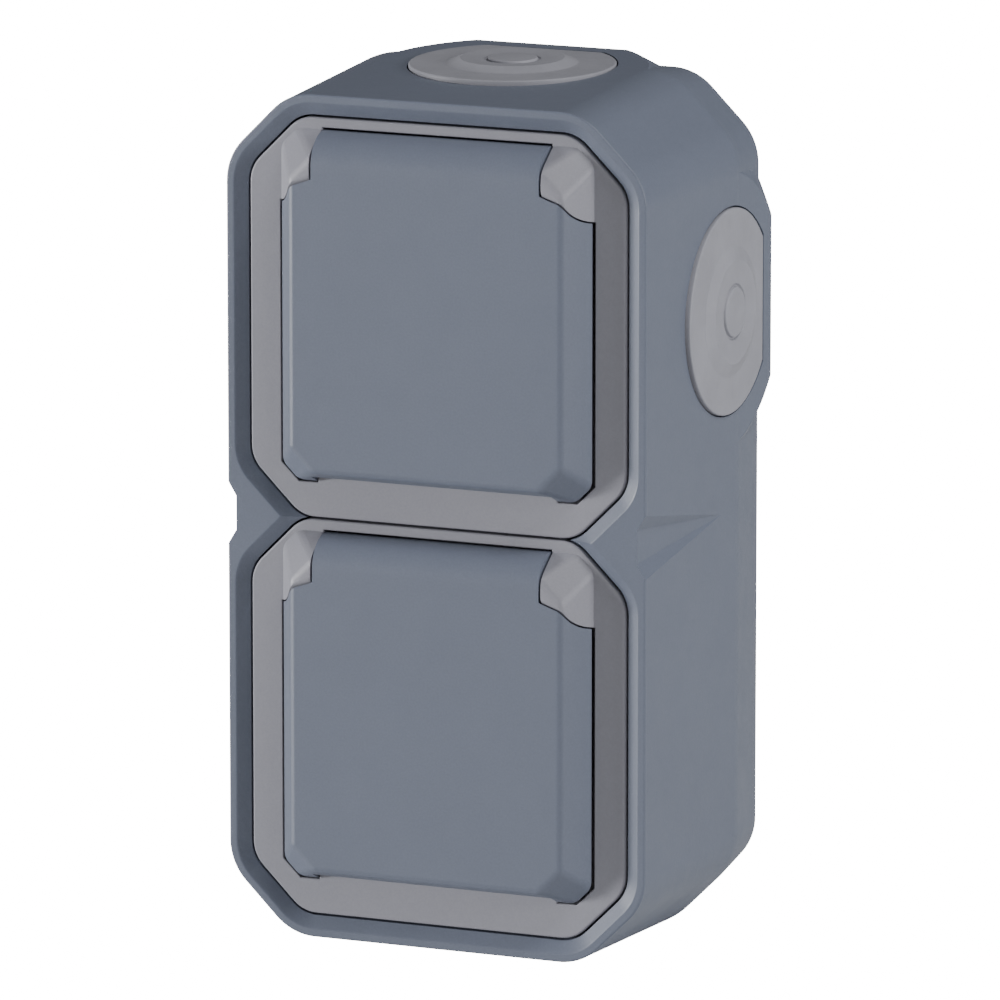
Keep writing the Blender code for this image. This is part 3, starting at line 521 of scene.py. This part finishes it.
def faceted(back_depth):
    """The bevelled block shared by the cover and its knuckles, with all but its back edges rounded."""
    top = FOOT_TOP - (FOOT_HALF - FRONT_HALF)
    front = corner_cut(FRONT_HALF, FRONT_LOW, top, FRONT_CUT)
    foot = corner_cut(FOOT_HALF, FOOT_LOW, FOOT_TOP, FOOT_CUT)
    t = (back_depth + COVER_RISE) / (FOOT_DEPTH + COVER_RISE)
    back = [(a[0] + (b[0] - a[0]) * t, a[1] + (b[1] - a[1]) * t) for a, b in zip(front, foot)]
    shape = loft([(front, -COVER_RISE), (back, back_depth)])
    tiny = 1e-5
    sharp = [e for e in shape.edges if max(v.co.y for v in e.verts) < back_depth - tiny
             or abs(e.verts[0].co.y - e.verts[1].co.y) > tiny]
    bmesh.ops.bevel(shape, geom=sharp, offset=EDGE, segments=4, profile=0.5, affect='EDGES')
    return shape


def on_axis(start, end, radius, end_radius=None, segments=64):
    """Cone along the hinge axis between two places on it."""
    return cone((start, 0, HINGE_HEIGHT), (end, 0, HINGE_HEIGHT), radius, end_radius, segments)


def window_outline():
    """Opening of the bezel: narrower between the knuckles, with a raised sill between its lower corners."""
    right = [(0.0226, -0.0270), (0.0226, -0.02907), (0.0262, -0.02907), (0.02945, -0.02582),
             (0.02945, 0.0204), (0.0215, 0.0204), (0.0215, 0.0335)]
    return right + [(-x, z) for x, z in reversed(right)]


def knuckle(side):
    """Hinge knuckle: a cone on the axis, trimmed by the cover's bevelled block."""
    cone_on_axis = on_axis(side * KNUCKLE_START, side * KNUCKLE_END, KNUCKLE_INNER, KNUCKLE_OUTER, 96)
    shape = to_object("knuckle", cone_on_axis)
    combine(shape, [to_object("trim", faceted(0.0008))], 'INTERSECT')
    return soften(shape, 0.0003, 3, 30)


def make_bezel(gang):
    """Octagonal frame with a stepped window and the two knuckles."""
    levels = [(octagon(-inset), depth) for inset, depth in lip(BEZEL_LIP)] + [(octagon(0), BEZEL_BACK)]
    bezel = to_object(gang + "_bezel_frame", loft(levels))
    r = WINDOW_LIP
    mouth = [(0.0006, -0.0006), (r * 1.6, -r * 0.35), (r * 0.72, r * 0.05), (r * 0.35, r * 0.25),
             (r * 0.1, r * 0.6), (0, r), (0, TUB_FLOOR)]
    window = loft([(offset(window_outline(), grow), depth) for grow, depth in mouth])
    hole = cone((0, 0, 0), (0, 0.02, 0), WELL_RADIUS, segments=128)
    cut(bezel, to_object("window", window), to_object("well_hole", hole))
    join(bezel, knuckle(-1), knuckle(1))
    for side in (-1, 1):
        cut(bezel, to_object("pin_bore", on_axis(side * 0.020, side * 0.0271, PIN_BORE, segments=32)))
    leg_height = HINGE_HEIGHT + 0.0023
    leg = cone((-0.0207, 0, leg_height), (-0.0227, 0, leg_height), 0.0006, segments=24)
    cut(bezel, to_object("leg_hole", leg))
    finish_piece(bezel, "box", gang + "_bezel", "light_grey_plastic", GANGS[gang])


def make_cover(gang):
    """Hollow bevelled cover with its hinge barrel, seal skirt and finger recess."""
    cover = to_object(gang + "_cover_shell", faceted(FOOT_DEPTH))
    cut(cover, to_object("top", block((-0.04, -0.02, HINGE_HEIGHT), (0.04, 0.02, 0.05))))
    inner_cut = 0.0012
    inner_front = corner_cut(FRONT_HALF - SKIN, FRONT_LOW + SKIN, 0.0275, FRONT_CUT - inner_cut)
    inner_foot = corner_cut(FOOT_HALF - SKIN, FOOT_LOW + SKIN, 0.0310, FOOT_CUT - inner_cut)
    hollow = loft([(inner_front, SKIN - COVER_RISE), (inner_foot, FOOT_DEPTH + 0.0001)])
    cut(cover, to_object("hollow", hollow))
    barrel = to_object("barrel", on_axis(-BARREL_HALF, BARREL_HALF, BARREL, segments=128))
    join(cover, soften(barrel, 0.00012))
    pocket, web = 0.0170, 0.0020
    low, high = web - pocket, BARREL_HALF - web
    inner = BARREL - SKIN
    below = HINGE_HEIGHT - 0.01
    cut(cover, to_object("bore", on_axis(low, high, inner)),
        to_object("spring_pocket", on_axis(-0.0224, -pocket, inner)),
        to_object("back", block((low, 0.0028, below), (high, 0.01, HINGE_HEIGHT + 0.01))),
        to_object("under", block((low, SKIN - COVER_RISE, below), (high, 0.01, HINGE_HEIGHT))))
    room_start, room_end, room_radius = 0.0213, 0.031, 0.00605
    widening = (KNUCKLE_OUTER - KNUCKLE_INNER) / 0.0078 * 0.0093
    for side in (-1, 1):
        room = on_axis(side * room_start, side * room_end, room_radius, room_radius + widening, 96)
        cut(cover, to_object("room", room))
    root = SKIN - COVER_RISE - 0.0005
    skirt = [(0.0224, root), (0.0242, root)] + arc((0.0240, 0.0024), 0.0002, 0, 90, 3)
    skirt += arc((0.0226, 0.0024), 0.0002, 90, 180, 3)
    join(cover, to_object("skirt", lathe(skirt, closed=True)))
    cut(cover, to_object("scoop", block((-0.0226, -0.0029, -0.031), (0.0226, 0.01, -0.0252))),
        to_object("pin_hole", on_axis(-0.03, 0.03, PIN_BORE, segments=32)))
    finish_piece(cover, gang + "_cover", gang + "_cover", "slate_grey_plastic", GANGS[gang])


# --- stage ---------------------------------------------------------------------------------

SEEN_WHITE = 18.0             # strength of floor and background where the camera looks at them
SOFT_LIGHT = 0.11             # strength of the background as a light
LIGHT_DISTANCE = 1.6
LIGHTS = {                    # direction from the object, size in metres, power in watts
    "key": ((-0.88, -0.47, 0.02), 0.25, 32.0),
    "right_fill": ((0.93, -0.17, 0.29), 0.4, 13.5),
    "top_fill": ((0.45, -0.24, 0.86), 0.5, 13.0),
}


def make_floor():
    """Pale floor that the camera sees as white and that doesn't light the object."""
    mesh = bpy.data.meshes.new("floor")
    bm = bmesh.new()
    bmesh.ops.create_grid(bm, x_segments=1, y_segments=1, size=6.0)
    bm.to_mesh(mesh)
    bm.free()
    floor = bpy.data.objects.new("floor", mesh)
    floor.location.z = cad_box[0][2] - 0.0003
    bpy.context.scene.collection.objects.link(floor)
    s = Shader("pale_floor")
    tone = s.mix(s.remap(s.noise(3, 3), 0.3, 0.7, 0, 1), (0.90, 0.90, 0.90), (0.93, 0.93, 0.93))
    path = s.tree.nodes.new("ShaderNodeLightPath")
    glow = s.remap(path.outputs["Is Camera Ray"], 0, 1, 0.0, SEEN_WHITE)
    s.set(Base_Color=tone, Roughness=0.9, Emission_Color=tone, Emission_Strength=glow)
    floor.data.materials.append(s.material)


def area_light(name, direction, size, power):
    light = bpy.data.lights.new(name, 'AREA')
    light.shape = 'SQUARE'
    light.size = size
    light.energy = power
    obj = bpy.data.objects.new(name, light)
    direction = Vector(direction).normalized()
    obj.location = Vector((0, -0.03, 0)) + direction * LIGHT_DISTANCE
    obj.rotation_euler = direction.to_track_quat('Z', 'Y').to_euler()
    bpy.context.scene.collection.objects.link(obj)


def make_lights():
    """Three area lights and a world that is bright only to the camera."""
    for name, (direction, size, power) in LIGHTS.items():
        area_light(name, direction, size, power)
    world = bpy.data.worlds.new("studio")
    world.use_nodes = True
    tree = world.node_tree
    background = tree.nodes["Background"]
    background.inputs["Color"].default_value = (1, 1, 1, 1)
    path = tree.nodes.new("ShaderNodeLightPath")
    strength = tree.nodes.new("ShaderNodeMapRange")
    strength.inputs["To Min"].default_value = SOFT_LIGHT
    strength.inputs["To Max"].default_value = SEEN_WHITE
    tree.links.new(path.outputs["Is Camera Ray"], strength.inputs["Value"])
    tree.links.new(strength.outputs["Result"], background.inputs["Strength"])
    bpy.context.scene.world = world


def make_camera():
    data = bpy.data.cameras.new("camera")
    data.sensor_width = 36.0
    data.lens = 380.34
    data.clip_end = 50.0
    camera = bpy.data.objects.new("camera", data)
    camera.location = (0.7089, -1.6960, 0.3765)
    camera.rotation_euler = (math.radians(78.284), 0, math.radians(22.97))
    bpy.context.scene.collection.objects.link(camera)
    bpy.context.scene.camera = camera


def paint_frame():
    """Materials of the carried-over CAD nodes, by the record's slots."""
    slots = {entry["node"]: entry["material_slot"] for entry in frame["record"]["subparts"]}
    for node, obj in frame["nodes"].items():
        for index in range(max(len(obj.material_slots), 1)):
            if index < len(obj.material_slots):
                obj.material_slots[index].material = MATERIALS[slots[node]]
            else:
                obj.data.materials.append(MATERIALS[slots[node]])


paint_frame()
make_camera()
make_lights()
make_floor()
make_housing()
make_grommet("top_cable_grommet", True)
make_grommet("right_cable_grommet", False)
for gang_name in GANGS:
    make_bezel(gang_name)
    make_cover(gang_name)
